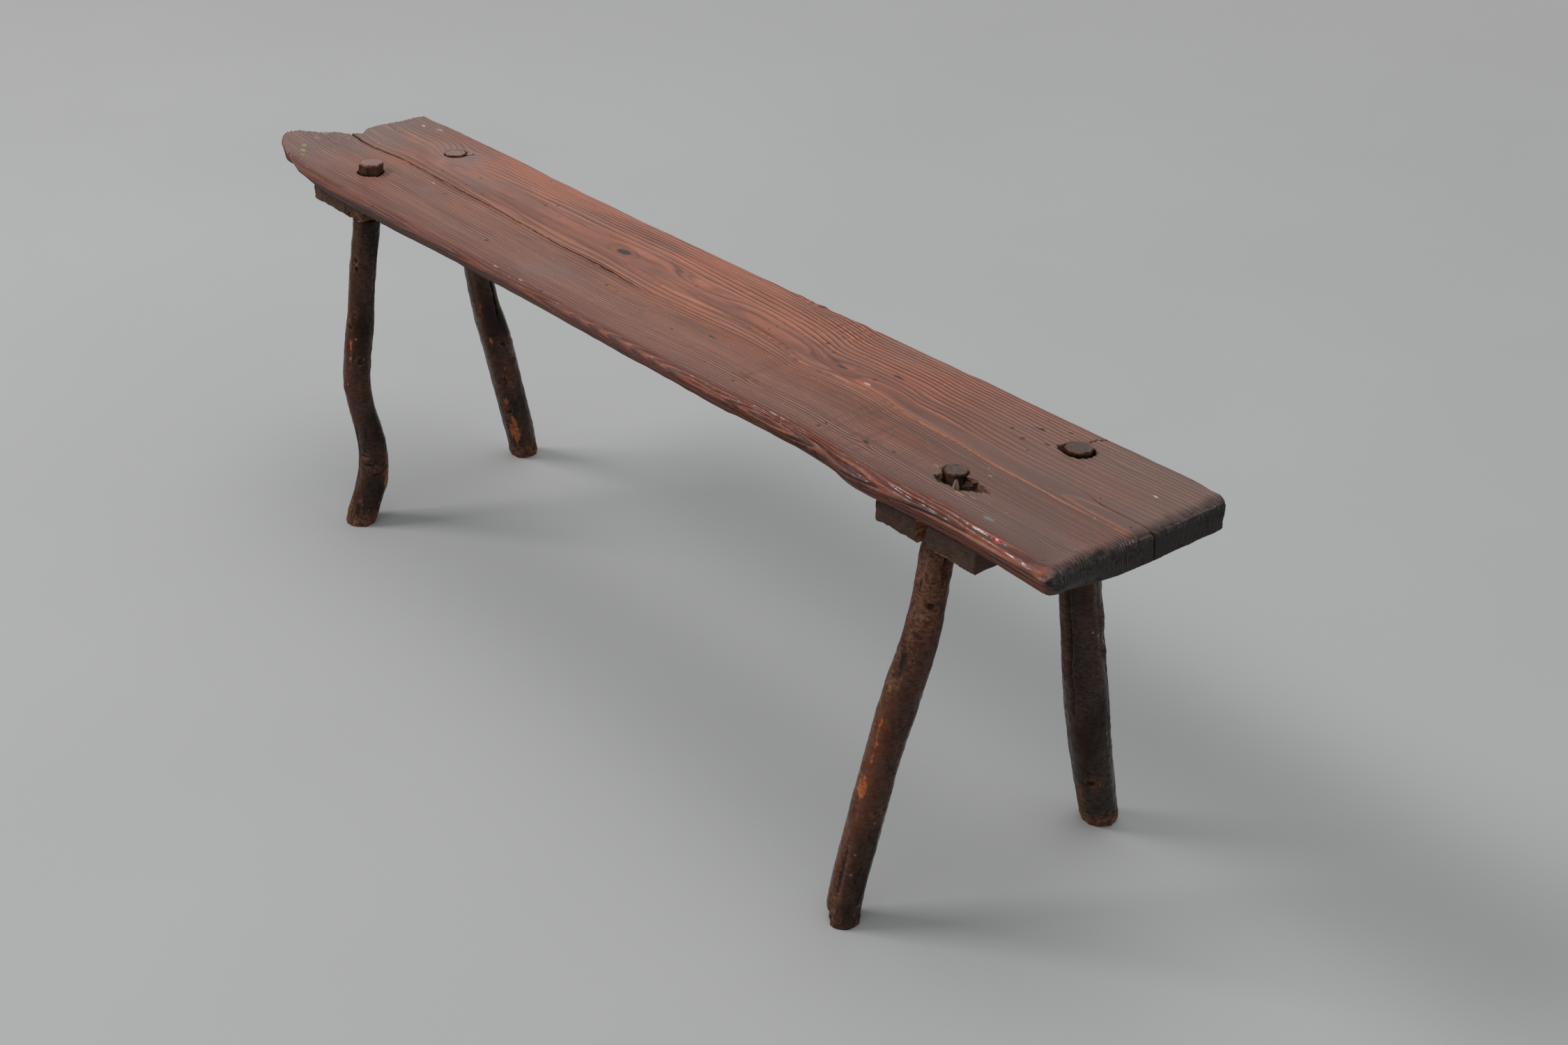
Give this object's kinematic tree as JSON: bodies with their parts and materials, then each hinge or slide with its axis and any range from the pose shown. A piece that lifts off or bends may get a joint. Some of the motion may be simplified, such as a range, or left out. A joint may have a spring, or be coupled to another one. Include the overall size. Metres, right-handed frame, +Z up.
{
  "type": "bench",
  "caption": "Rustic plank bench: a worn softwood seat on two cross battens and four splayed branch legs with through tenons.",
  "frame": {"origin": "middle of the bench's footprint, on the floor", "axes": "+X along the plank towards its square-sawn end, -Y towards the worn front edge, +Z up"},
  "size_m": [1.406, 0.3457, 0.463],
  "materials": {
    "weathered_plank": "worn red-brown stain over raised grain, satin",
    "batten_wood": "dull rough end grain",
    "dark_branch": "dark varnished branch, semi-gloss",
    "wedge_wood": "bare pale wood"
  },
  "bodies": {
    "root": {"seat_plank": "weathered_plank", "left_batten": "batten_wood", "right_batten": "batten_wood", "front_left_leg": "dark_branch", "back_left_leg": "dark_branch", "front_right_leg": "dark_branch", "back_right_leg": "dark_branch", "back_left_wedge": "wedge_wood", "front_right_wedge": "wedge_wood"}
  },
  "joints": []
}
